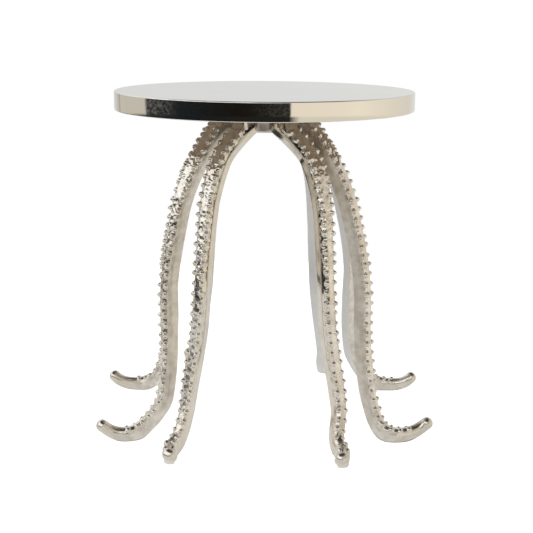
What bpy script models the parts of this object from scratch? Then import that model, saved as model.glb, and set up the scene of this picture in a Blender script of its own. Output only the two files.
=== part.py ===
"""Round side table: a shallow turned top carried by eight cast tentacle legs.

Metres, +Z up. The origin is on the floor under the middle of the top, and the front is -Y.
A leg's azimuth is counted from the front (-Y) towards +X.
"""
import math

import bmesh
import bpy
import numpy as np
from mathutils import Matrix, Vector

# Driving dimensions
TABLE_HEIGHT = 0.520
TOP_RADIUS = 0.2285
RIM_DEPTH = 0.0278
TOP_THICKNESS = 0.0055
SKIRT_THICKNESS = 0.0065
EDGE_ROUNDING = 0.0030
GAP = 0.0003

HUB_RADIUS = 0.0470
HUB_BOTTOM = 0.4590
FLANGE_RADIUS = 0.0780
FLANGE_BOTTOM = 0.4950
FLANGE_THICKNESS = 0.0060

LEG_SCREW_CIRCLE = 0.0590
LEG_SCREW_RADIUS = 0.0030
TOP_SCREW_CIRCLE = 0.0690
TOP_SCREW_RADIUS = 0.0025
TOP_SCREW_AZIMUTHS = (0.0, 90.0, 180.0, 270.0)
SPACER_RADIUS = 0.0065
SCREW_CLEARANCE = 0.0003
HEAD_RADIUS_SHARE = 1.8
HEAD_HEIGHT_SHARE = 1.3
SOCKET_RADIUS_SHARE = 0.8
SOCKET_FLOOR_SHARE = 0.65
DRILL_OVERRUN = 0.0020

# A leg's centre line as (distance from the table's axis, height), from the hub to the toe
SPINE = [
    (0.0475, 0.4755), (0.0682, 0.4674), (0.1065, 0.4357), (0.1417, 0.3770), (0.1608, 0.3073),
    (0.1732, 0.2350), (0.1768, 0.1646), (0.1847, 0.1016), (0.1948, 0.0555), (0.2139, 0.0207),
    (0.2458, 0.0112), (0.2760, 0.0254),
]
# Along a leg: (share of its length, half thickness, half width inside, half width outside)
SECTION = [
    (0.00, 0.0128, 0.0131, 0.0122), (0.15, 0.0119, 0.0130, 0.0118), (0.43, 0.0116, 0.0103, 0.0084),
    (0.70, 0.0110, 0.0116, 0.0086), (0.85, 0.0105, 0.0106, 0.0076), (1.00, 0.0084, 0.0098, 0.0088),
]
# Along a leg: (share of its length, degrees of bend towards its pair, degrees of turn away from it)
BEND = [
    (0.00, 2.0, 0.0), (0.15, 12.0, 8.0), (0.50, 10.3, 6.0), (0.79, 13.6, 6.0), (0.90, 8.0, 5.0),
    (1.00, 0.0, 0.0),
]
# Each leg: (name, azimuth, side its pair is on, its own extra bends and extra turns at BEND's rows)
LEGS = [
    ("front_right", 22.5, 1, (0.0, 2.5, -0.3, 0.6, 0.4, 1.6), (0.0, -5.0, -6.0, 6.0, 6.0, 0.0)),
    ("right_front", 67.5, -1, (0.0, -1.5, -3.0, -4.3, 2.5, 1.7), (0.0, -2.0, -8.0, -10.0, -4.0, 0.0)),
    ("right_rear", 112.5, 1, (0.0, 0.0, -1.0, 0.5, 0.0, 0.0), (0.0, 0.0, 0.0, 0.0, 0.0, 0.0)),
    ("rear_right", 157.5, -1, (0.0, 1.0, -1.5, -2.0, 0.0, 1.0), (0.0, 0.0, 0.0, 0.0, 0.0, 0.0)),
    ("rear_left", 202.5, 1, (0.0, 0.0, 1.5, 2.0, 4.0, 7.0), (0.0, 0.0, 0.0, 0.0, 0.0, 0.0)),
    ("left_rear", 247.5, -1, (0.0, -1.0, -7.0, -5.0, -1.0, 0.0), (0.0, 0.0, 0.0, 0.0, 0.0, 0.0)),
    ("left_front", 292.5, 1, (0.0, -0.5, 1.7, 2.5, 1.5, 5.7), (0.0, -32.0, -10.0, -3.0, 1.0, 0.0)),
    ("front_left", 337.5, -1, (0.0, -0.8, -1.2, 0.1, 5.8, 6.2), (0.0, -3.0, -5.0, 10.0, 9.0, 0.0)),
]

NUB_PITCH = 0.0143
NUB_HEIGHT = 0.0050
NUB_FADE = 0.5
NUB_START = 0.06
NUB_END = 0.93
ROOT_RINGS = 4
TOE_RINGS = 4
PAD_LENGTH = 0.024
PAD_TOP = FLANGE_BOTTOM - GAP
PAD_POINTS = (2, 3, 4, 5)
NUB_FACES = (2, 4)
SOLE_POINTS = (0, 7)
SOLE_START = 0.915
SOLE_END = 0.950
FLANK_BULGE = 0.0018
FLANK_MIDDLE = 0.05
SHOULDER_HEIGHT = 0.66
CROWN_WIDTH = 0.48
TOE_ROUNDING = 0.0040
SPINE_SAMPLES = 400
LEG_HOLE_DEPTH = 0.0140
TOP_SCREW_BITE = 0.0032
HUB_CHAMFER = 0.0020
TOP_STEPS = 72
HUB_STEPS = 40
SCREW_STEPS = 12
MERGE_DISTANCE = 0.00005
SHARP_ANGLE = 35


def make_collection(name):
    collection = bpy.data.collections.new(name)
    bpy.context.scene.collection.children.link(collection)
    return collection


def make_material(name, color, roughness, metallic):
    material = bpy.data.materials.new(name)
    material.use_nodes = True
    shader = material.node_tree.nodes["Principled BSDF"]
    shader.inputs["Base Color"].default_value = (*color, 1.0)
    shader.inputs["Roughness"].default_value = roughness
    shader.inputs["Metallic"].default_value = metallic
    return material


def add_mesh(name, mesh_tool, collection, material):
    mesh = bpy.data.meshes.new(name)
    mesh_tool.normal_update()
    mesh_tool.to_mesh(mesh)
    mesh_tool.free()
    part = bpy.data.objects.new(name, mesh)
    collection.objects.link(part)
    if material:
        mesh.materials.append(material)
        mesh.shade_smooth()
        mesh.set_sharp_from_angle(angle=math.radians(SHARP_ANGLE))
    return part


def around(radius, azimuth, height):
    """The point at this distance and azimuth from the table's axis."""
    angle = math.radians(azimuth)
    return Vector((radius * math.sin(angle), -radius * math.cos(angle), height))


def smooth_through(points, samples):
    """A Catmull-Rom curve through the points, spaced by their chord lengths."""
    points = np.array(points, dtype=float)
    chords = np.linalg.norm(np.diff(points, axis=0), axis=1)
    knots = np.concatenate([[0.0], np.cumsum(chords)])
    slopes = np.gradient(points, knots, axis=0, edge_order=2)
    where = np.linspace(0.0, knots[-1], samples)
    index = np.clip(np.searchsorted(knots, where, side="right") - 1, 0, len(points) - 2)
    span = (knots[index + 1] - knots[index])[:, None]
    share = (where - knots[index])[:, None] / span
    square = share * share
    cube = square * share
    return ((2 * cube - 3 * square + 1) * points[index] + (cube - 2 * square + share) * span * slopes[index]
            + (3 * square - 2 * cube) * points[index + 1] + (cube - square) * span * slopes[index + 1])


def eased(table, share):
    """Values from a table at this share of the length, eased between its rows."""
    low = max(row for row in range(len(table) - 1) if table[row][0] <= share)
    start, end = table[low], table[low + 1]
    t = (share - start[0]) / (end[0] - start[0])
    t = t * t * (3 - 2 * t)
    return [a + (b - a) * t for a, b in zip(start[1:], end[1:])]


def turned(name, outline, steps, collection, material):
    """A closed outline of (radius, height), top to bottom down its outer side, turned about Z."""
    profile = bmesh.new()
    vertices = [profile.verts.new((radius, 0.0, height)) for radius, height in outline]
    for first, second in zip(vertices, vertices[1:]):
        profile.edges.new((first, second))
    part = add_mesh(name, profile, collection, material)
    screw = part.modifiers.new("Turn", "SCREW")
    screw.steps = steps
    screw.render_steps = steps
    screw.use_merge_vertices = True
    screw.merge_threshold = MERGE_DISTANCE
    screw.use_smooth_shade = True
    return part


def quarter_round(center, radius, start, end, steps):
    """Points of an arc in the (radius, height) plane, angles in degrees."""
    angles = [math.radians(start + (end - start) * step / steps) for step in range(steps + 1)]
    return [(center[0] + radius * math.cos(a), center[1] + radius * math.sin(a)) for a in angles]


def cylinder(name, radius, low, high, place, sides, collection, material):
    tool = bmesh.new()
    middle = Matrix.Translation((place.x, place.y, (low + high) / 2))
    bmesh.ops.create_cone(tool, cap_ends=True, segments=sides, radius1=radius, radius2=radius,
                          depth=high - low, matrix=middle)
    return add_mesh(name, tool, collection, material)


def cut(part, cutter):
    cutter.hide_render = True
    cutter.display_type = "WIRE"
    boolean = part.modifiers.new("Cut", "BOOLEAN")
    boolean.operation = "DIFFERENCE"
    boolean.object = cutter


def leg_frames(azimuth, pair_side, own_bends, own_turns, shares):
    """The centre, outward and sideways directions of a leg at each share of its length."""
    spine = smooth_through(SPINE, SPINE_SAMPLES)
    heading = np.gradient(spine, axis=0)
    heading /= np.linalg.norm(heading, axis=1)[:, None]
    places = np.linspace(0.0, 1.0, SPINE_SAMPLES)
    bends = [(row[0], row[1] + bend, row[2] + turn) for row, bend, turn in zip(BEND, own_bends, own_turns)]
    centers = []
    outwards = []
    for share in shares:
        radius, height = (np.interp(share, places, spine[:, axis]) for axis in (0, 1))
        along, rise = (np.interp(share, places, heading[:, axis]) for axis in (0, 1))
        bend, turn = eased(bends, share)
        bent = azimuth + pair_side * bend
        facing = bent - pair_side * turn
        centers.append(around(radius, bent, height))
        outwards.append(around(-rise, facing, along))
    frames = []
    for row, (center, outward) in enumerate(zip(centers, outwards)):
        tangent = (centers[min(row + 1, len(centers) - 1)] - centers[max(row - 1, 0)]).normalized()
        normal = (outward - tangent * outward.dot(tangent)).normalized()
        frames.append((center, normal, tangent.cross(normal)))
    return frames


def section(share):
    """Eight (sideways, outward) points: a flat inner face, leaning flanks, a blunt outer face."""
    thick, inner, outer = eased(SECTION, share)
    middle = (inner + outer) / 2 + FLANK_BULGE
    right = [(inner, -thick), (middle, FLANK_MIDDLE * thick), (outer, SHOULDER_HEIGHT * thick),
             (CROWN_WIDTH * outer, thick)]
    return right + [(-side, out) for side, out in reversed(right)]


def leg_shares():
    """Ring places: a few at the root, one at each end of every nub, a few at the toe."""
    spine = smooth_through(SPINE, SPINE_SAMPLES)
    length = np.linalg.norm(np.diff(spine, axis=0), axis=1).sum()
    nubs = int((NUB_END - NUB_START) * length / NUB_PITCH)
    root = [NUB_START * step / ROOT_RINGS for step in range(ROOT_RINGS)]
    body = [NUB_START + (NUB_END - NUB_START) * step / (2 * nubs) for step in range(2 * nubs)]
    toe = [NUB_END + (1.0 - NUB_END) * step / TOE_RINGS for step in range(TOE_RINGS + 1)]
    return root + body + toe, 2 * nubs


def leg_ring(share, center, normal, sideways):
    """One ring of a leg: squared to the hub at the root, flat under the flange, flat on the floor."""
    outwards = Vector((center.x, center.y, 0.0)).normalized()
    under_flange = outwards.dot(center) < SPINE[0][0] + PAD_LENGTH
    ring = []
    for number, (side, out) in enumerate(section(share)):
        point = center + sideways * side + normal * out
        if share == 0.0:
            point -= outwards * outwards.dot(point - center)
        if under_flange and number in PAD_POINTS:
            point.z = PAD_TOP
        on_floor = number in SOLE_POINTS and SOLE_START <= share <= SOLE_END
        point.z = 0.0 if on_floor else max(point.z, 0.0)
        ring.append(point)
    return ring


def make_leg(name, azimuth, pair_side, own_bends, own_turns, collection, material):
    shares, nub_rings = leg_shares()
    frames = leg_frames(azimuth, pair_side, own_bends, own_turns, shares)
    leg = bmesh.new()
    rings = []
    for share, frame in zip(shares, frames):
        rings.append([leg.verts.new(point) for point in leg_ring(share, *frame)])
    nubs = []
    for row, (near, far) in enumerate(zip(rings, rings[1:])):
        nub_row = row - ROOT_RINGS
        for number in range(len(near)):
            after = (number + 1) % len(near)
            face = leg.faces.new((near[number], near[after], far[after], far[number]))
            if 0 <= nub_row < nub_rings and nub_row % 2 == 0 and number in NUB_FACES:
                nubs.append((face, NUB_HEIGHT * (1.0 - NUB_FADE * nub_row / nub_rings)))
    leg.faces.new(rings[0])
    cap = leg.faces.new(rings[-1])
    bmesh.ops.recalc_face_normals(leg, faces=leg.faces)
    for face, height in nubs:
        bmesh.ops.poke(leg, faces=[face], offset=height)
    bmesh.ops.poke(leg, faces=[cap], offset=TOE_ROUNDING)
    return add_mesh(name, leg, collection, material)


def make_screw(name, place, head_seat, head_side, shank_radius, shank_length, collection, material):
    """A low-head screw with a round socket; head_side is 1 for a head on top, -1 for one below."""
    head_radius = HEAD_RADIUS_SHARE * shank_radius
    head_height = HEAD_HEIGHT_SHARE * shank_radius
    socket_radius = SOCKET_RADIUS_SHARE * shank_radius
    socket_floor = SOCKET_FLOOR_SHARE * shank_radius
    outline = [
        (0.0, socket_floor), (socket_radius, socket_floor), (socket_radius, head_height),
        (head_radius, head_height), (head_radius, 0.0), (shank_radius, 0.0),
        (shank_radius, -shank_length), (0.0, -shank_length),
    ]
    if head_side < 0:
        outline = [(radius, -height) for radius, height in reversed(outline)]
    screw = turned(name, outline, SCREW_STEPS, collection, material)
    screw.location = (place.x, place.y, head_seat)
    return screw


def make_top(collection, material, holes):
    high = TABLE_HEIGHT
    low = TABLE_HEIGHT - RIM_DEPTH
    under = TABLE_HEIGHT - TOP_THICKNESS
    inner = TOP_RADIUS - SKIRT_THICKNESS
    outline = [(0.0, high)]
    outline += quarter_round((TOP_RADIUS - EDGE_ROUNDING, high - EDGE_ROUNDING), EDGE_ROUNDING, 90, 0, 4)
    outline += quarter_round((TOP_RADIUS - EDGE_ROUNDING / 2, low + EDGE_ROUNDING / 2),
                             EDGE_ROUNDING / 2, 0, -90, 2)
    outline += [(inner, low), (inner, under - EDGE_ROUNDING), (inner - EDGE_ROUNDING, under), (0.0, under)]
    top = turned("table_top", outline, TOP_STEPS, collection, material)
    cut(top, holes)
    return top


def make_hub(collection, material, holes):
    flange_top = FLANGE_BOTTOM + FLANGE_THICKNESS
    outline = [
        (0.0, flange_top), (FLANGE_RADIUS, flange_top), (FLANGE_RADIUS, FLANGE_BOTTOM),
        (HUB_RADIUS, FLANGE_BOTTOM), (HUB_RADIUS, HUB_BOTTOM + HUB_CHAMFER),
        (HUB_RADIUS - HUB_CHAMFER, HUB_BOTTOM), (0.0, HUB_BOTTOM),
    ]
    hub = turned("hub_casting", outline, HUB_STEPS, collection, material)
    cut(hub, holes)
    return hub


def make_spacer(name, place, collection, material):
    low = FLANGE_BOTTOM + FLANGE_THICKNESS + GAP
    high = TABLE_HEIGHT - TOP_THICKNESS - GAP
    bore = TOP_SCREW_RADIUS + SCREW_CLEARANCE
    outline = [(bore, low), (bore, high), (SPACER_RADIUS, high), (SPACER_RADIUS, low), (bore, low)]
    spacer = turned(name, outline, SCREW_STEPS, collection, material)
    spacer.location = (place.x, place.y, 0.0)
    return spacer


def holes_cutter(name, places, radius, low, high, collection):
    """One cutter with an upright drill at every place."""
    tool = bmesh.new()
    for place in places:
        middle = Matrix.Translation((place.x, place.y, (low + high) / 2))
        bmesh.ops.create_cone(tool, cap_ends=True, segments=SCREW_STEPS, radius1=radius, radius2=radius,
                              depth=high - low, matrix=middle)
    return add_mesh(name, tool, collection, None)


def main():
    for old in list(bpy.data.objects):
        bpy.data.objects.remove(old, do_unlink=True)
    table = make_collection("octopus_side_table")
    cutters = make_collection("cutters")
    polished = make_material("polished_nickel", (0.78, 0.76, 0.73), 0.12, 1.0)
    cast = make_material("cast_nickel", (0.74, 0.72, 0.68), 0.26, 1.0)
    hub_metal = make_material("satin_casting", (0.62, 0.62, 0.61), 0.45, 1.0)
    steel = make_material("zinc_steel", (0.60, 0.61, 0.62), 0.35, 1.0)

    leg_places = [around(LEG_SCREW_CIRCLE, leg[1], 0.0) for leg in LEGS]
    top_places = [around(TOP_SCREW_CIRCLE, turn, 0.0) for turn in TOP_SCREW_AZIMUTHS]
    flange_top = FLANGE_BOTTOM + FLANGE_THICKNESS
    leg_hole = LEG_SCREW_RADIUS + SCREW_CLEARANCE
    top_hole = TOP_SCREW_RADIUS + SCREW_CLEARANCE
    top_screw_tip = TABLE_HEIGHT - TOP_THICKNESS + TOP_SCREW_BITE

    leg_holes = holes_cutter("leg_holes_in_flange", leg_places, leg_hole, FLANGE_BOTTOM - DRILL_OVERRUN,
                             flange_top + DRILL_OVERRUN, cutters)
    top_holes = holes_cutter("top_holes_in_flange", top_places, top_hole, FLANGE_BOTTOM - DRILL_OVERRUN,
                             flange_top + DRILL_OVERRUN, cutters)
    blind_holes = holes_cutter("blind_holes_in_top", top_places, top_hole, TABLE_HEIGHT - 2 * TOP_THICKNESS,
                               top_screw_tip + SCREW_CLEARANCE, cutters)

    make_top(table, polished, blind_holes)
    hub = make_hub(table, hub_metal, leg_holes)
    cut(hub, top_holes)

    for leg, place in zip(LEGS, leg_places):
        tentacle = make_leg("tentacle_leg_" + leg[0], *leg[1:], table, cast)
        drilled = holes_cutter("hole_in_leg_" + leg[0], [place], leg_hole,
                               PAD_TOP - LEG_HOLE_DEPTH, PAD_TOP + DRILL_OVERRUN, cutters)
        cut(tentacle, drilled)
        make_screw("leg_screw_" + leg[0], place, flange_top + GAP, 1, LEG_SCREW_RADIUS,
                   FLANGE_THICKNESS + LEG_HOLE_DEPTH - DRILL_OVERRUN, table, steel)

    for side, place in zip(("front", "right", "rear", "left"), top_places):
        make_spacer("top_spacer_" + side, place, table, steel)
        seat = FLANGE_BOTTOM - GAP
        make_screw("top_screw_" + side, place, seat, -1, TOP_SCREW_RADIUS, top_screw_tip - seat,
                   table, steel)


main()
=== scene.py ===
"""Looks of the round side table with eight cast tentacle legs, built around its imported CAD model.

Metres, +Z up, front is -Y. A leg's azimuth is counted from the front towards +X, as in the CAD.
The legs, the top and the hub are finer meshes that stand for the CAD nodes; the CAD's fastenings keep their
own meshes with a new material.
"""
import math

import bpy
import numpy as np
from mathutils import Matrix, Vector


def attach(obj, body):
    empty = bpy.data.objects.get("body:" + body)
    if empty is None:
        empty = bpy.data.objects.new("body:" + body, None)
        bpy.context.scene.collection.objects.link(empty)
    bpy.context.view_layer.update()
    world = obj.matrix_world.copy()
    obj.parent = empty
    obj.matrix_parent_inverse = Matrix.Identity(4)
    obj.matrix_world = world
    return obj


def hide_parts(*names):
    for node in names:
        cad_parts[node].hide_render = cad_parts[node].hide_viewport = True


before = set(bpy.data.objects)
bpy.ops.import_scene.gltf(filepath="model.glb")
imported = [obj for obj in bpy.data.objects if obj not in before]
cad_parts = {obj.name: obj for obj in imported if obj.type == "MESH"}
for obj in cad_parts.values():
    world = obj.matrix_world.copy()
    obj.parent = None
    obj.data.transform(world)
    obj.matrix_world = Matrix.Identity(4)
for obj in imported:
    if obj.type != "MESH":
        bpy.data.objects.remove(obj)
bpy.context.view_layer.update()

# Camera
CAMERA_PLACE = (0.0, -1.7103, 0.6371)
CAMERA_LENS = 74.83
CAMERA_PITCH = 12.967
CAMERA_YAW = -0.156
CAMERA_ROLL = 0.374

# The table's own dimensions, the same as the CAD's
TABLE_HEIGHT = 0.520
TOP_RADIUS = 0.2285
RIM_DEPTH = 0.0278
TOP_THICKNESS = 0.0055
SKIRT_THICKNESS = 0.0065
HUB_RADIUS = 0.0470
HUB_BOTTOM = 0.4590
FLANGE_RADIUS = 0.0780
FLANGE_BOTTOM = 0.4950
FLANGE_THICKNESS = 0.0060
GAP = 0.0003
PAD_TOP = FLANGE_BOTTOM - GAP
PAD_LENGTH = 0.024

# A leg's centre line as (distance from the table's axis, height), from the hub to the toe
SPINE = [
    (0.0475, 0.4755), (0.0682, 0.4674), (0.1065, 0.4357), (0.1417, 0.3770), (0.1608, 0.3073),
    (0.1732, 0.2350), (0.1768, 0.1646), (0.1847, 0.1016), (0.1948, 0.0555), (0.2139, 0.0207),
    (0.2458, 0.0112), (0.2760, 0.0254),
]
# Along a leg: (share of its length, half thickness, half width inside, half width outside)
SECTION = [
    (0.00, 0.0128, 0.0131, 0.0122), (0.15, 0.0119, 0.0130, 0.0118), (0.43, 0.0116, 0.0103, 0.0084),
    (0.70, 0.0110, 0.0116, 0.0086), (0.85, 0.0105, 0.0106, 0.0076), (1.00, 0.0084, 0.0098, 0.0088),
]
# Along a leg: (share of its length, degrees of bend towards its pair, degrees of turn away from it)
BEND = [
    (0.00, 2.0, 0.0), (0.15, 12.0, 8.0), (0.50, 10.3, 6.0), (0.79, 13.6, 6.0), (0.90, 8.0, 5.0),
    (1.00, 0.0, 0.0),
]
# Each leg: (name, azimuth, side its pair is on, its own extra bends and extra turns at BEND's rows)
LEGS = [
    ("front_right", 22.5, 1, (0.0, 2.5, -0.3, 0.6, 0.4, 1.6), (0.0, -5.0, -6.0, 6.0, 6.0, 0.0)),
    ("right_front", 67.5, -1, (0.0, -1.5, -3.0, -4.3, 2.5, 1.7), (0.0, -2.0, -8.0, -10.0, -4.0, 0.0)),
    ("right_rear", 112.5, 1, (0.0, 0.0, -1.0, 0.5, 0.0, 0.0), (0.0, 0.0, 0.0, 0.0, 0.0, 0.0)),
    ("rear_right", 157.5, -1, (0.0, 1.0, -1.5, -2.0, 0.0, 1.0), (0.0, 0.0, 0.0, 0.0, 0.0, 0.0)),
    ("rear_left", 202.5, 1, (0.0, 0.0, 1.5, 2.0, 4.0, 7.0), (0.0, 0.0, 0.0, 0.0, 0.0, 0.0)),
    ("left_rear", 247.5, -1, (0.0, -1.0, -7.0, -5.0, -1.0, 0.0), (0.0, 0.0, 0.0, 0.0, 0.0, 0.0)),
    ("left_front", 292.5, 1, (0.0, -0.5, 1.7, 2.5, 1.5, 5.7), (0.0, -32.0, -10.0, -3.0, 1.0, 0.0)),
    ("front_left", 337.5, -1, (0.0, -0.8, -1.2, 0.1, 5.8, 6.2), (0.0, -3.0, -5.0, 10.0, 9.0, 0.0)),
]
BRIGHT_FLANKS = ("front_right", "front_left")
SPINE_SAMPLES = 400
# Shares of a leg's length: the flat sole and how softly it begins and ends, and the squared root
SOLE_START = 0.915
SOLE_END = 0.950
HEEL_FADE = 0.050
SOLE_OVERLAP = 0.015
ROOT_SQUARED = 0.015
# Lengths: how far the flanks bulge, where the root's flat pad runs out, and its reach past the flange
FLANK_BULGE = 0.0009
PAD_FADE = 0.010
FLANGE_CLEARANCE = 0.001

# Each leg's random draws start from its own seed
FIRST_SEED = 40
# How finely a leg is drawn: rings along it, and points on each side of its section
LEG_RINGS = 900
FACE_POINTS = (10, 9, 9, 16, 9, 9, 10, 18)
# The material of a leg's faces after each corner of its section
RELIEF, INNER_FACE, FLANK, TOE = range(4)
CORNER_KINDS = (FLANK, FLANK, RELIEF, RELIEF, RELIEF, FLANK, FLANK, INNER_FACE)
# Shares of the section: how far out the flank's middle and the shoulder are, and the outer face's edge
FLANK_MIDDLE = 0.05
SHOULDER = 0.66
FACE_EDGE = 0.48
# Corners of the section at the outer face, and the one that the inner face comes after
OUTER_CORNERS = (2, 3, 4)
INNER_CORNER = 7
# Weights of a point and its neighbours, which round the section's corners
CORNER_SOFTENING = np.array([1.0, 2.0, 3.0, 2.0, 1.0]) / 9.0

# The two rows of nubs on a leg's outer face: the zone, pitch and height go by share of the length
NUB_ZONE = (0.050, 0.945)
NUB_PITCH = [(0.0, 0.0122), (0.25, 0.0135), (0.55, 0.0152), (0.90, 0.0150), (1.0, 0.0120)]
NUB_HEIGHT = [(0.0, 0.0048), (0.35, 0.0050), (0.70, 0.0044), (0.88, 0.0032), (1.0, 0.0016)]
NUB_REACH = 0.0044
NUB_SHARPNESS = 2.2
NUB_FLARE = 0.95
# How much the nubs vary from one to the next
NUB_HEIGHT_RANGE = (0.82, 1.15)
NUB_REACH_RANGE = (0.90, 1.10)
NUB_SIDE_SCATTER = 0.0004
NUB_PLACE_SCATTER = 0.0006
# Cast relief: (cell, depth) of each layer of pebbling and its share along the leg, and (cell, depth)
# of the slow waves all round, which fade out before the seam down the middle of the inner face
PEBBLES = [(0.0052, 0.00060), (0.0030, 0.00034)]
PEBBLE_SHARE = [(0.0, 0.9), (0.12, 1.2), (0.35, 1.0), (0.50, 0.52), (0.75, 0.42), (0.90, 0.30), (1.0, 0.05)]
WAVES = (0.022, 0.00022)
WAVES_MARGIN = 0.010
WAVES_FADE = 0.006
# Where the nubs' pebbled strip fades out, past the middle of a row of nubs
STRIP_FADE = (0.0040, 0.0085)
# The toe: where its polish begins, with the (size, cell) of that edge's wavering; where its section
# turns round, how much it swells, and its rounded end
POLISHED_TOE = 0.925
TOE_WAVER = (0.014, 0.006)
TOE_ROUND = (0.90, 0.97)
TOE_SWELL = (0.965, 1.0, 0.10)
TOE_LENGTH = 0.0080
TOE_STEPS = 9


def around(radius, azimuth):
    """Unit vectors and places are built from this: (x, y) at a distance and azimuth, in degrees."""
    angle = np.radians(azimuth)
    return np.stack([radius * np.sin(angle), -radius * np.cos(angle)], axis=-1)


def smoothstep(low, high, value):
    share = np.clip((value - low) / (high - low), 0.0, 1.0)
    return share * share * (3.0 - 2.0 * share)


def smooth_through(points, samples):
    """A Catmull-Rom curve through the points, spaced by their chord lengths."""
    points = np.array(points, dtype=float)
    chords = np.linalg.norm(np.diff(points, axis=0), axis=1)
    knots = np.concatenate([[0.0], np.cumsum(chords)])
    slopes = np.gradient(points, knots, axis=0, edge_order=2)
    where = np.linspace(0.0, knots[-1], samples)
    index = np.clip(np.searchsorted(knots, where, side="right") - 1, 0, len(points) - 2)
    span = (knots[index + 1] - knots[index])[:, None]
    share = (where - knots[index])[:, None] / span
    square = share * share
    cube = square * share
    return ((2 * cube - 3 * square + 1) * points[index] + (cube - 2 * square + share) * span * slopes[index]
            + (3 * square - 2 * cube) * points[index + 1] + (cube - square) * span * slopes[index + 1])


def eased(table, shares):
    """The columns of a table at these shares of the length, eased between its rows."""
    rows = np.array(table, dtype=float)
    index = np.clip(np.searchsorted(rows[:, 0], shares, side="right") - 1, 0, len(rows) - 2)
    start, end = rows[index], rows[index + 1]
    t = (shares - start[:, 0]) / (end[:, 0] - start[:, 0])
    t = (t * t * (3.0 - 2.0 * t))[:, None]
    return (start[:, 1:] + (end[:, 1:] - start[:, 1:]) * t).T


def unit(vectors):
    return vectors / np.linalg.norm(vectors, axis=-1, keepdims=True)


def value_noise(first, second, cell, draw):
    """Smooth noise from -1 to 1 over two lengths, with one random value per cell."""
    u = (first - first.min()) / cell
    v = (second - second.min()) / cell
    lattice = draw.uniform(-1.0, 1.0, (int(u.max()) + 2, int(v.max()) + 2))
    i, j = u.astype(int), v.astype(int)
    s, t = smoothstep(0.0, 1.0, u - i), smoothstep(0.0, 1.0, v - j)
    near = lattice[i, j] * (1 - t) + lattice[i, j + 1] * t
    far = lattice[i + 1, j] * (1 - t) + lattice[i + 1, j + 1] * t
    return near * (1 - s) + far * s


def make_mesh(name, points, faces, materials, face_materials=None):
    mesh = bpy.data.meshes.new(name)
    mesh.from_pydata(points.tolist(), [], faces)
    for material in materials:
        mesh.materials.append(material)
    if face_materials is not None:
        mesh.polygons.foreach_set("material_index", face_materials)
    mesh.shade_smooth()
    mesh.validate()
    piece = bpy.data.objects.new(name, mesh)
    bpy.context.scene.collection.objects.link(piece)
    return piece


def grid_faces(rings, sides):
    """Quads of a tube of rings, every ring closed on itself."""
    ring = np.arange(rings - 1)[:, None] * sides
    side = np.arange(sides)[None, :]
    after = (side + 1) % sides
    quads = np.stack([ring + side, ring + after, ring + sides + after, ring + sides + side], axis=-1)
    return quads.reshape(-1, 4).tolist()


# ---------------------------------------------------------------- legs
def leg_frames(azimuth, pair_side, own_bends, own_turns, shares):
    """The centre, outward and sideways directions, and the tangent, of a leg at each share."""
    spine = smooth_through(SPINE, SPINE_SAMPLES)
    heading = unit(np.gradient(spine, axis=0))
    places = np.linspace(0.0, 1.0, SPINE_SAMPLES)
    bends = [(row[0], row[1] + bend, row[2] + turn) for row, bend, turn in zip(BEND, own_bends, own_turns)]
    bend, turn = eased(bends, shares)
    radius, height = (np.interp(shares, places, spine[:, axis]) for axis in (0, 1))
    along, rise = (np.interp(shares, places, heading[:, axis]) for axis in (0, 1))
    bent = azimuth + pair_side * bend
    facing = bent - pair_side * turn
    centers = np.column_stack([around(radius, bent), height])
    outward = np.column_stack([around(-rise, facing), along])
    tangent = unit(np.gradient(centers, axis=0))
    normal = unit(outward - tangent * (outward * tangent).sum(axis=1, keepdims=True))
    return centers, normal, np.cross(tangent, normal), tangent


def leg_sections(shares):
    """Rounded sections as (sideways, outward) points, and which corner each point comes after."""
    thick, inner, outer = eased(SECTION, shares)
    middle = (inner + outer) / 2 + FLANK_BULGE
    right = [
        (inner, -thick), (middle, FLANK_MIDDLE * thick), (outer, SHOULDER * thick),
        (FACE_EDGE * outer, thick),
    ]
    corners = right + [(-side, out) for side, out in reversed(right)]
    corners = np.array(corners).transpose(2, 0, 1)
    start = np.repeat(np.arange(len(FACE_POINTS)), FACE_POINTS)
    step = np.concatenate([np.arange(count) / count for count in FACE_POINTS])
    points = (corners[:, start] * (1 - step)[None, :, None]
              + corners[:, (start + 1) % len(FACE_POINTS)] * step[None, :, None])
    reach = len(CORNER_SOFTENING) // 2
    points = sum(weight * np.roll(points, shift, axis=1)
                 for weight, shift in zip(CORNER_SOFTENING, range(-reach, reach + 1)))
    width = (inner + outer)[:, None] / 2
    angle = np.arctan2(points[..., 1] / thick[:, None], points[..., 0] / width)
    oval = np.stack([width * np.cos(angle), thick[:, None] * np.sin(angle)], axis=-1)
    points += (oval - points) * smoothstep(*TOE_ROUND, shares)[:, None, None]
    points *= 1.0 + TOE_SWELL[2] * smoothstep(*TOE_SWELL[:2], shares)[:, None, None]
    return points, start, outer, thick


def nub_places(length, draw):
    """Distances along the leg where nubs sit, a little uneven."""
    places = []
    place = NUB_ZONE[0] * length
    while place < NUB_ZONE[1] * length:
        places.append(place + draw.normal(0.0, NUB_PLACE_SCATTER))
        place += np.interp(place / length, *zip(*NUB_PITCH))
    return places


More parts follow.
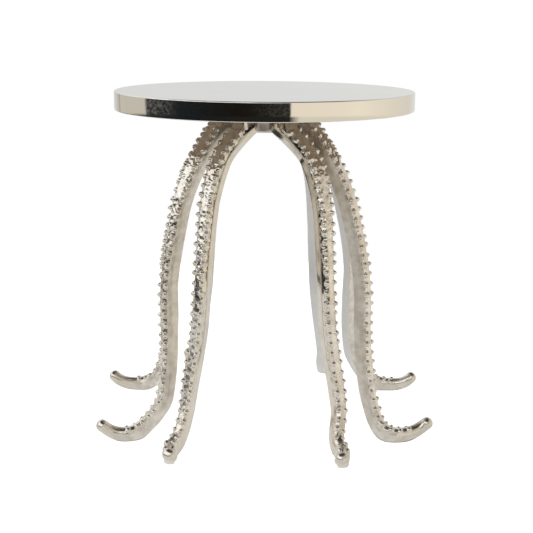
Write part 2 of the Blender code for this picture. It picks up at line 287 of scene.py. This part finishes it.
def leg_relief(shares, along, across, outer, thick, draw):
    """How far every point stands out of the plain section: nubs, pebbling and slow waves."""
    length = along[-1]
    bevel = np.hypot((1.0 - FACE_EDGE) * outer, (1.0 - SHOULDER) * thick)
    row_middle = FACE_EDGE * outer + bevel / 2
    aside = np.abs(across)
    relief = np.zeros(across.shape)
    for side in (-1, 1):
        on_side = np.sign(across) == side
        for place in nub_places(length, draw):
            share = place / length
            tall = np.interp(share, *zip(*NUB_HEIGHT)) * draw.uniform(*NUB_HEIGHT_RANGE)
            reach = NUB_REACH * draw.uniform(*NUB_REACH_RANGE)
            shifted = draw.normal(0.0, NUB_SIDE_SCATTER)
            rows = np.nonzero(np.abs(along - place) < 2 * NUB_REACH)[0]
            offset = np.hypot((along[rows, None] - place) / reach,
                              (aside[rows] - row_middle[rows, None] - shifted) / reach)
            dome = (1.0 - np.clip(offset, 0.0, 1.0) ** NUB_SHARPNESS) ** NUB_FLARE
            relief[rows] = np.maximum(relief[rows], tall * dome * on_side[rows])
    edge = row_middle[:, None]
    on_face = 1.0 - smoothstep(edge + STRIP_FADE[0], edge + STRIP_FADE[1], aside)
    strength = np.interp(shares, *zip(*PEBBLE_SHARE))[:, None]
    lengths = np.broadcast_to(along[:, None], across.shape)
    for cell, depth in PEBBLES:
        relief += depth * strength * on_face * value_noise(lengths, across, cell, draw)
    inside = smoothstep(0.0, WAVES_FADE, aside.max(axis=1, keepdims=True) - WAVES_MARGIN - aside)
    relief += WAVES[1] * inside * value_noise(lengths, across, WAVES[0], draw)
    return relief


def make_leg(number, name, azimuth, pair_side, own_bends, own_turns, materials):
    draw = np.random.default_rng(FIRST_SEED + number)
    shares = np.linspace(0.0, 1.0, LEG_RINGS)
    centers, normal, sideways, tangent = leg_frames(azimuth, pair_side, own_bends, own_turns, shares)
    flat, start, outer, thick = leg_sections(shares)
    steps = np.roll(flat, -1, axis=1) - flat
    around_length = np.cumsum(np.linalg.norm(steps, axis=2), axis=1)
    crown = sum(FACE_POINTS[:3]) + FACE_POINTS[3] // 2
    across = around_length - around_length[:, crown:crown + 1]
    half = around_length[:, -1:] / 2
    across = np.where(across > half, across - 2 * half, across)
    across = np.where(across < -half, across + 2 * half, across)
    slope = unit(np.roll(flat, -1, axis=1) - np.roll(flat, 1, axis=1))
    facing = np.stack([slope[..., 1], -slope[..., 0]], axis=-1)
    gaps = np.linalg.norm(np.diff(centers, axis=0), axis=1)
    along = np.concatenate([[0.0], np.cumsum(gaps)])
    flat = flat + facing * leg_relief(shares, along, across, outer, thick, draw)[..., None]
    points = centers[:, None] + sideways[:, None] * flat[..., :1] + normal[:, None] * flat[..., 1:]

    outwards = np.zeros_like(centers)
    outwards[:, :2] = unit(centers[:, :2])
    squared = 1.0 - smoothstep(0.0, ROOT_SQUARED, shares)
    depth = ((points - centers[:, None]) * outwards[:, None]).sum(axis=2)
    points -= outwards[:, None] * (depth * squared[:, None])[..., None]
    distance = np.linalg.norm(centers[:, :2], axis=1)
    pad_end = SPINE[0][0] + PAD_LENGTH
    under_flange = 1.0 - smoothstep(pad_end, pad_end + PAD_FADE, distance)
    on_pad = np.isin(start, OUTER_CORNERS) * under_flange[:, None]
    points[..., 2] += on_pad * (PAD_TOP - points[..., 2])
    under_rim = np.linalg.norm(points[..., :2], axis=2) < FLANGE_RADIUS + FLANGE_CLEARANCE
    held = under_rim & (points[..., 2] > PAD_TOP)
    points[..., 2] = np.where(held, PAD_TOP, points[..., 2])
    heel = smoothstep(SOLE_START - HEEL_FADE, SOLE_START + SOLE_OVERLAP, shares)
    ball = 1.0 - smoothstep(SOLE_END - SOLE_OVERLAP, SOLE_END + HEEL_FADE, shares)
    on_sole = (start == INNER_CORNER) * (heel * ball)[:, None]
    points[..., 2] *= 1.0 - on_sole
    points[..., 2] = np.maximum(points[..., 2], 0.0)

    sides = flat.shape[1]
    toe = points[-1]
    toe_middle = toe.mean(axis=0)
    rings = [points.reshape(-1, 3)]
    for step in range(1, TOE_STEPS):
        angle = math.pi / 2 * step / TOE_STEPS
        ring = toe_middle + (toe - toe_middle) * math.cos(angle)
        rings.append(ring + tangent[-1] * TOE_LENGTH * math.sin(angle))
    count = LEG_RINGS + TOE_STEPS - 1
    vertices = np.concatenate(rings + [(toe_middle + tangent[-1] * TOE_LENGTH)[None]])
    faces = grid_faces(count, sides)
    body_kinds = np.tile(np.array(CORNER_KINDS)[start], count - 1)
    last = (count - 1) * sides
    tip = [[last + side, last + (side + 1) % sides, len(vertices) - 1] for side in range(sides)]
    root = [list(range(sides - 1, -1, -1))]
    lengths = np.broadcast_to(along[:, None], across.shape)
    wavering = POLISHED_TOE + TOE_WAVER[0] * value_noise(lengths, across, TOE_WAVER[1], draw)
    polished = np.concatenate([shares[:, None] > wavering, np.ones((TOE_STEPS - 2, sides), dtype=bool)])
    kinds = np.where(polished.ravel(), TOE, body_kinds)
    kinds = np.concatenate([kinds, np.full(sides, TOE), [RELIEF]]).astype(np.int32)
    leg = make_mesh("tentacle_" + name, vertices, faces + tip + root, materials, kinds)
    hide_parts("tentacle_leg_" + name)
    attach(leg, "root")


# ---------------------------------------------------------------- turned pieces
def arc(center, radius, start, end, steps):
    """Points of an arc in the (radius, height) plane, angles in degrees."""
    angles = np.radians(np.linspace(start, end, steps + 1))
    return [(center[0] + radius * math.cos(a), center[1] + radius * math.sin(a)) for a in angles]


def turned(name, outline, steps, materials, second_from=None):
    """An outline of (radius, height) from the axis round to the axis again, turned about Z.

    From the outline's point second_from on, the second material is used.
    """
    body = outline[1:-1]
    angles = np.linspace(0.0, 2 * math.pi, steps, endpoint=False)
    rings = [
        [(radius * math.cos(a), radius * math.sin(a), height) for a in angles] for radius, height in body
    ]
    vertices = np.array(rings).reshape(-1, 3)
    ends = np.array([(0.0, 0.0, outline[0][1]), (0.0, 0.0, outline[-1][1])])
    vertices = np.concatenate([vertices, ends])
    faces = [list(reversed(face)) for face in grid_faces(len(body), steps)]
    last = (len(body) - 1) * steps
    first_end, last_end = len(vertices) - 2, len(vertices) - 1
    faces += [[side, (side + 1) % steps, first_end] for side in range(steps)]
    faces += [[last + (side + 1) % steps, last + side, last_end] for side in range(steps)]
    if second_from is None:
        return make_mesh(name, vertices, faces, materials)
    bands = np.repeat(np.arange(len(body) - 1) >= second_from, steps)
    kinds = np.concatenate([bands, np.zeros(steps, dtype=bool), np.ones(steps, dtype=bool)])
    return make_mesh(name, vertices, faces, materials, kinds.astype(np.int32))


def make_top(polished, underside):
    high = TABLE_HEIGHT
    low = TABLE_HEIGHT - RIM_DEPTH
    under = TABLE_HEIGHT - TOP_THICKNESS
    inner = TOP_RADIUS - SKIRT_THICKNESS
    edge = 0.0018
    lower_edge = 0.0012
    fillet = 0.0040
    outline = [(0.0, high), (0.08, high), (0.16, high), (TOP_RADIUS - 3 * edge, high)]
    outline += arc((TOP_RADIUS - edge, high - edge), edge, 90, 0, 6)
    outline += [(TOP_RADIUS, (high + low) / 2)]
    outline += arc((TOP_RADIUS - lower_edge, low + lower_edge), lower_edge, 0, -90, 5)
    outline += arc((inner + lower_edge, low + lower_edge), lower_edge, 270, 180, 5)
    skirt_inside = len(outline) - 2
    outline += [(inner, (low + under) / 2)]
    outline += arc((inner - fillet, under - fillet), fillet, 0, 90, 6)
    outline += [(0.14, under), (0.06, under), (0.0, under)]
    # The underside and the skirt's inside get the second material, a dark brown-grey of painted shade.
    top = turned("polished_round_top", outline, 288, [polished, underside], skirt_inside)
    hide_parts("table_top")
    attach(top, "root")


def make_hub(material):
    flange_top = FLANGE_BOTTOM + FLANGE_THICKNESS
    soft = 0.0012
    chamfer = 0.0030
    neck = 0.001
    outline = [(0.0, flange_top), (FLANGE_RADIUS - 3 * soft, flange_top)]
    outline += arc((FLANGE_RADIUS - soft, flange_top - soft), soft, 90, 0, 4)
    outline += arc((FLANGE_RADIUS - soft, FLANGE_BOTTOM + soft), soft, 0, -90, 4)
    outline += [(HUB_RADIUS + neck, FLANGE_BOTTOM), (HUB_RADIUS, FLANGE_BOTTOM - neck)]
    outline += [(HUB_RADIUS, HUB_BOTTOM + 2 * chamfer)]
    outline += arc((HUB_RADIUS - chamfer, HUB_BOTTOM + chamfer), chamfer, 0, -90, 6)
    outline += [(HUB_RADIUS - 2 * chamfer, HUB_BOTTOM), (0.0, HUB_BOTTOM)]
    hub = turned("finished_hub", outline, 144, [material])
    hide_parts("hub_casting")
    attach(hub, "root")


# ---------------------------------------------------------------- materials
TINT_RANGE = (0.35, 0.65)


def new_material(name, color, roughness, metallic=1.0):
    material = bpy.data.materials.new(name)
    material.use_nodes = True
    shader = material.node_tree.nodes["Principled BSDF"]
    shader.inputs["Base Color"].default_value = (*color, 1.0)
    shader.inputs["Roughness"].default_value = roughness
    shader.inputs["Metallic"].default_value = metallic
    return material, material.node_tree.nodes, material.node_tree.links, shader


def noise(nodes, links, place, scale, detail):
    texture = nodes.new("ShaderNodeTexNoise")
    texture.inputs["Scale"].default_value = scale
    texture.inputs["Detail"].default_value = detail
    links.new(place, texture.inputs["Vector"])
    return texture


def spread(nodes, links, source, low, high, low_value, high_value):
    """A value mapped from one range to another."""
    mapped = nodes.new("ShaderNodeMapRange")
    limits = {"From Min": low, "From Max": high, "To Min": low_value, "To Max": high_value}
    for socket, value in limits.items():
        mapped.inputs[socket].default_value = value
    links.new(source, mapped.inputs["Value"])
    return mapped.outputs["Result"]


def tint(nodes, links, source, low_color, high_color, shader):
    """The shader's colour between two colours by a texture's value."""
    ramp = nodes.new("ShaderNodeValToRGB")
    ramp.color_ramp.elements[0].position = TINT_RANGE[0]
    ramp.color_ramp.elements[0].color = (*low_color, 1.0)
    ramp.color_ramp.elements[1].position = TINT_RANGE[1]
    ramp.color_ramp.elements[1].color = (*high_color, 1.0)
    links.new(source, ramp.inputs["Fac"])
    links.new(ramp.outputs["Color"], shader.inputs["Base Color"])


def bump(nodes, links, source, distance, strength, shader):
    rise = nodes.new("ShaderNodeBump")
    rise.inputs["Distance"].default_value = distance
    rise.inputs["Strength"].default_value = strength
    links.new(source, rise.inputs["Height"])
    links.new(rise.outputs["Normal"], shader.inputs["Normal"])


def clouded_metal(name, color, roughness, cloud, colors, gloss=None, grain=None):
    """Metal clouded between two colours and two roughnesses, over the piece's own metres.

    The cloud is (scale, detail) and the grain is (scale, detail, height, strength).
    """
    material, nodes, links, shader = new_material(name, color, roughness)
    place = nodes.new("ShaderNodeTexCoord").outputs["Object"]
    clouds = noise(nodes, links, place, *cloud).outputs["Fac"]
    tint(nodes, links, clouds, *colors, shader)
    if gloss:
        links.new(spread(nodes, links, clouds, 0.3, 0.7, *gloss), shader.inputs["Roughness"])
    if grain:
        grains = noise(nodes, links, place, *grain[:2]).outputs["Fac"]
        bump(nodes, links, grains, *grain[2:], shader)
    return material


def polished_nickel():
    return clouded_metal(
        "polished_nickel_top", (0.80, 0.78, 0.74), 0.07, (14.0, 4.0),
        ((0.79, 0.775, 0.74), (0.82, 0.805, 0.775)), gloss=(0.025, 0.06), grain=(60.0, 2.0, 0.0003, 0.10))


def rough_underside_painted_shade():
    """The top's unpolished underside: dull, rough cast metal, painted a darker brown-grey as painted shade
    under the top.
    """
    return clouded_metal(
        "cast_underside_painted_shade", (0.44, 0.37, 0.285), 0.62, (30.0, 6.0),
        ((0.37, 0.30, 0.23), (0.51, 0.43, 0.34)), grain=(500.0, 3.0, 0.0005, 0.4))


def cast_metal():
    """The pebbled outer faces of the legs, with their nubs."""
    return clouded_metal(
        "cast_nickel_relief", (0.78, 0.75, 0.69), 0.14, (55.0, 5.0),
        ((0.68, 0.63, 0.56), (0.86, 0.825, 0.765)), gloss=(0.14, 0.27), grain=(700.0, 3.0, 0.0005, 0.25))


def flank_metal():
    """The smoother sides of most legs: satin, clouded warm grey."""
    return clouded_metal(
        "satin_leg_flank", (0.64, 0.60, 0.54), 0.36, (90.0, 6.0),
        ((0.66, 0.61, 0.54), (0.84, 0.805, 0.75)), gloss=(0.30, 0.44), grain=(900.0, 3.0, 0.0004, 0.35))


def bright_flank_metal():
    """The polished sides of the two front legs."""
    return clouded_metal(
        "bright_leg_flank", (0.78, 0.74, 0.67), 0.10, (70.0, 5.0),
        ((0.72, 0.67, 0.59), (0.80, 0.76, 0.69)), gloss=(0.07, 0.15), grain=(500.0, 3.0, 0.0003, 0.12))


def toe_metal():
    """The smooth, worn-bright toes."""
    return clouded_metal(
        "bright_toe", (0.74, 0.70, 0.64), 0.11, (60.0, 4.0),
        ((0.66, 0.62, 0.55), (0.77, 0.73, 0.67)), gloss=(0.08, 0.17), grain=(130.0, 2.0, 0.0008, 0.5))


def ground_metal():
    """The flat inner faces of the legs, ground smooth."""
    return clouded_metal(
        "ground_inner_face", (0.74, 0.74, 0.73), 0.42, (40.0, 6.0),
        ((0.70, 0.70, 0.69), (0.77, 0.77, 0.765)), gloss=(0.36, 0.48), grain=(1400.0, 2.0, 0.0002, 0.25))


def satin_casting():
    return clouded_metal(
        "satin_hub_metal", (0.80, 0.76, 0.70), 0.40, (70.0, 5.0),
        ((0.75, 0.71, 0.65), (0.85, 0.81, 0.75)), grain=(900.0, 3.0, 0.0003, 0.3))


def zinc_steel():
    return clouded_metal(
        "zinc_plated_steel", (0.60, 0.61, 0.62), 0.34, (160.0, 3.0),
        ((0.54, 0.55, 0.56), (0.66, 0.67, 0.67)), gloss=(0.28, 0.42))


# ---------------------------------------------------------------- studio
# The studio that the metal reflects: (azimuth from the camera's side towards +X, colour)
LOW_ROOM = [
    (-180.0, (0.74, 0.745, 0.74)), (-156.0, (0.70, 0.69, 0.67)), (-143.5, (0.56, 0.54, 0.51)),
    (-141.5, (0.34, 0.31, 0.28)), (-139.5, (0.64, 0.59, 0.50)), (-100.0, (0.64, 0.59, 0.51)),
    (-98.0, (0.030, 0.029, 0.028)), (-60.0, (0.012, 0.014, 0.016)), (-20.0, (0.010, 0.008, 0.006)),
    (18.3, (0.018, 0.016, 0.012)), (19.7, (0.94, 0.84, 0.70)), (75.0, (0.98, 0.89, 0.72)),
    (112.0, (0.86, 0.79, 0.66)), (140.0, (0.78, 0.74, 0.66)), (158.0, (0.80, 0.79, 0.75)),
    (180.0, (0.74, 0.745, 0.74)),
]
HIGH_ROOM = [
    (-180.0, (0.74, 0.745, 0.74)), (-120.0, (1.10, 1.10, 1.08)), (-95.0, (1.75, 1.75, 1.73)),
    (-10.0, (1.75, 1.75, 1.73)), (15.0, (0.80, 0.75, 0.66)), (60.0, (0.66, 0.60, 0.51)),
    (120.0, (0.76, 0.74, 0.69)), (155.0, (0.68, 0.68, 0.67)), (180.0, (0.74, 0.745, 0.74)),
]
# Below the horizon, past the floor's edge, the dark side reaches further round
FLOOR_ROOM = [
    (-180.0, (0.80, 0.79, 0.77)), (-150.0, (0.50, 0.47, 0.42)), (-138.0, (0.05, 0.05, 0.05)),
    (-60.0, (0.012, 0.014, 0.016)), (18.3, (0.020, 0.018, 0.014)), (26.0, (0.80, 0.73, 0.61)),
    (112.0, (0.80, 0.74, 0.63)), (180.0, (0.80, 0.79, 0.77)),
]
# How much pale clutter shows against the dark side, by azimuth
CLUTTER_ROOM = [
    (-180.0, (0.0,) * 3), (-99.5, (0.0,) * 3), (-98.5, (1.0,) * 3), (-82.0, (0.8,) * 3),
    (-66.0, (0.04,) * 3), (-10.0, (0.02,) * 3), (4.0, (0.22,) * 3), (17.5, (0.40,) * 3), (19.0, (0.0,) * 3),
    (180.0, (0.0,) * 3),
]
# Where the softbox's cloth has dark folds, by azimuth
SOFTBOX_FOLDS = [
    (-180.0, (0.0,) * 3), (-150.0, (0.0,) * 3), (-115.0, (2.0,) * 3), (20.0, (2.0,) * 3), (60.0, (0.8,) * 3),
    (110.0, (0.0,) * 3), (180.0, (0.0,) * 3),
]
RAMP_SCALE = 2.0
CLUTTER_COLOR = (0.30, 0.295, 0.275)
FOLD_COLOR = (0.16, 0.155, 0.145)
CEILING_COLOR = (0.03, 0.03, 0.03)
# Between which heights of the reflected direction the low room gives way to the others
HIGH_FROM = (0.06, 0.30)
FLOOR_FROM = (-0.150, -0.180)
CEILING_FROM = (0.62, 0.84)


def math_node(nodes, links, operation, first, second=None):
    node = nodes.new("ShaderNodeMath")
    node.operation = operation
    for socket, value in zip(node.inputs, (first, second)):
        if isinstance(value, (int, float)):
            socket.default_value = value
        elif value is not None:
            links.new(value, socket)
    return node.outputs[0]


def room_ramp(nodes, links, place, room):
    """A colour by azimuth; colours over 1 are kept by halving them here and doubling later."""
    ramp = nodes.new("ShaderNodeValToRGB")
    elements = ramp.color_ramp.elements
    while len(elements) < len(room):
        elements.new(0.5)
    for element, (azimuth, color) in zip(elements, room):
        element.position = azimuth / 360.0 + 0.5
        element.color = (*(channel / RAMP_SCALE for channel in color), 1.0)
    links.new(place, ramp.inputs["Fac"])
    return ramp.outputs["Color"]


def blend_colors(nodes, links, share, first, second):
    mix = nodes.new("ShaderNodeMix")
    mix.data_type = "RGBA"
    for socket, value in zip((mix.inputs["Factor"], mix.inputs[6], mix.inputs[7]), (share, first, second)):
        if isinstance(value, (int, float)):
            socket.default_value = value
        elif isinstance(value, tuple):
            socket.default_value = (*value, 1.0)
        else:
            links.new(value, socket)
    return mix.outputs[2]


def make_world():
    world = bpy.data.worlds.new("studio")
    bpy.context.scene.world = world
    world.use_nodes = True
    nodes, links = world.node_tree.nodes, world.node_tree.links
    nodes.clear()
    direction = nodes.new("ShaderNodeTexCoord").outputs["Generated"]
    split = nodes.new("ShaderNodeSeparateXYZ")
    links.new(direction, split.inputs["Vector"])
    toward_camera = math_node(nodes, links, "MULTIPLY", split.outputs["Y"], -1.0)
    angle = math_node(nodes, links, "ARCTAN2", split.outputs["X"], toward_camera)
    place = math_node(nodes, links, "ADD", math_node(nodes, links, "DIVIDE", angle, 2 * math.pi), 0.5)
    low = room_ramp(nodes, links, place, LOW_ROOM)
    high = room_ramp(nodes, links, place, HIGH_ROOM)
    clutter = noise(nodes, links, direction, 26.0, 8.0)
    clutter.inputs["Roughness"].default_value = 0.65
    amount = room_ramp(nodes, links, place, CLUTTER_ROOM)
    spots = spread(nodes, links, clutter.outputs["Fac"], 0.42, 0.64, 0.0, 0.55)
    spots = math_node(nodes, links, "MULTIPLY", spots, amount)
    low = blend_colors(nodes, links, spots, low, CLUTTER_COLOR)
    folds = noise(nodes, links, direction, 7.0, 3.0)
    shade = spread(nodes, links, folds.outputs["Fac"], 0.40, 0.60, 0.0, 0.62)
    on_softbox = room_ramp(nodes, links, place, SOFTBOX_FOLDS)
    shade = math_node(nodes, links, "MULTIPLY", shade, on_softbox)
    high = blend_colors(nodes, links, shade, high, FOLD_COLOR)
    lift = spread(nodes, links, split.outputs["Z"], *HIGH_FROM, 0.0, 1.0)
    room = blend_colors(nodes, links, lift, low, high)
    sink = spread(nodes, links, split.outputs["Z"], *FLOOR_FROM, 0.0, 1.0)
    room = blend_colors(nodes, links, sink, room, room_ramp(nodes, links, place, FLOOR_ROOM))
    overhead = spread(nodes, links, split.outputs["Z"], *CEILING_FROM, 0.0, 1.0)
    room = blend_colors(nodes, links, overhead, room, CEILING_COLOR)
    light = nodes.new("ShaderNodeBackground")
    light.inputs["Strength"].default_value = RAMP_SCALE
    links.new(room, light.inputs["Color"])
    backdrop = nodes.new("ShaderNodeBackground")
    backdrop.inputs["Color"].default_value = (1.0, 1.0, 1.0, 1.0)
    seen = nodes.new("ShaderNodeLightPath").outputs["Is Camera Ray"]
    choice = nodes.new("ShaderNodeMixShader")
    links.new(seen, choice.inputs["Fac"])
    links.new(light.outputs["Background"], choice.inputs[1])
    links.new(backdrop.outputs["Background"], choice.inputs[2])
    output = nodes.new("ShaderNodeOutputWorld")
    links.new(choice.outputs["Shader"], output.inputs["Surface"])


FLOOR_RADIUS = 1.12
FLOOR_DROP = 0.0002
FLOOR_GLOW = 0.90
FLOOR_FILL = 0.34


def make_floor():
    """A white disc that is blown out to the white of the backdrop, but for the softest contact shadow."""
    material, nodes, links, shader = new_material("white_floor", (0.88, 0.88, 0.87), 0.7, 0.0)
    choice = nodes.new("ShaderNodeMixShader")
    for socket, strength in ((1, FLOOR_FILL), (2, FLOOR_GLOW)):
        glow = nodes.new("ShaderNodeEmission")
        glow.inputs["Strength"].default_value = strength
        both = nodes.new("ShaderNodeAddShader")
        links.new(shader.outputs["BSDF"], both.inputs[0])
        links.new(glow.outputs["Emission"], both.inputs[1])
        links.new(both.outputs["Shader"], choice.inputs[socket])
    seen = nodes.new("ShaderNodeLightPath").outputs["Is Camera Ray"]
    links.new(seen, choice.inputs["Fac"])
    links.new(choice.outputs["Shader"], nodes["Material Output"].inputs["Surface"])
    angles = np.linspace(0.0, 2 * math.pi, 96, endpoint=False)
    level = np.full_like(angles, -FLOOR_DROP)
    points = np.column_stack([FLOOR_RADIUS * np.cos(angles), FLOOR_RADIUS * np.sin(angles), level])
    floor = make_mesh("studio_floor", points, [list(range(len(angles)))], [material])


def make_camera():
    data = bpy.data.cameras.new("camera")
    data.sensor_width = 36.0
    data.lens = CAMERA_LENS
    camera = bpy.data.objects.new("camera", data)
    bpy.context.scene.collection.objects.link(camera)
    bpy.context.scene.camera = camera
    turn = (Matrix.Rotation(math.radians(CAMERA_YAW), 4, "Z")
            @ Matrix.Rotation(math.radians(90.0 - CAMERA_PITCH), 4, "X")
            @ Matrix.Rotation(math.radians(CAMERA_ROLL), 4, "Z"))
    camera.matrix_world = Matrix.Translation(Vector(CAMERA_PLACE)) @ turn


def main():
    make_camera()
    make_world()
    make_floor()
    bpy.context.scene.view_settings.view_transform = "Standard"
    make_top(polished_nickel(), rough_underside_painted_shade())
    make_hub(satin_casting())
    relief, inner_face, satin, toe = cast_metal(), ground_metal(), flank_metal(), toe_metal()
    bright = bright_flank_metal()
    for number, leg in enumerate(LEGS):
        flank = bright if leg[0] in BRIGHT_FLANKS else satin
        make_leg(number, *leg, [relief, inner_face, flank, toe])
    steel = zinc_steel()
    for name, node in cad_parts.items():
        if "screw" in name or "spacer" in name:
            node.data.materials.clear()
            node.data.materials.append(steel)


main()
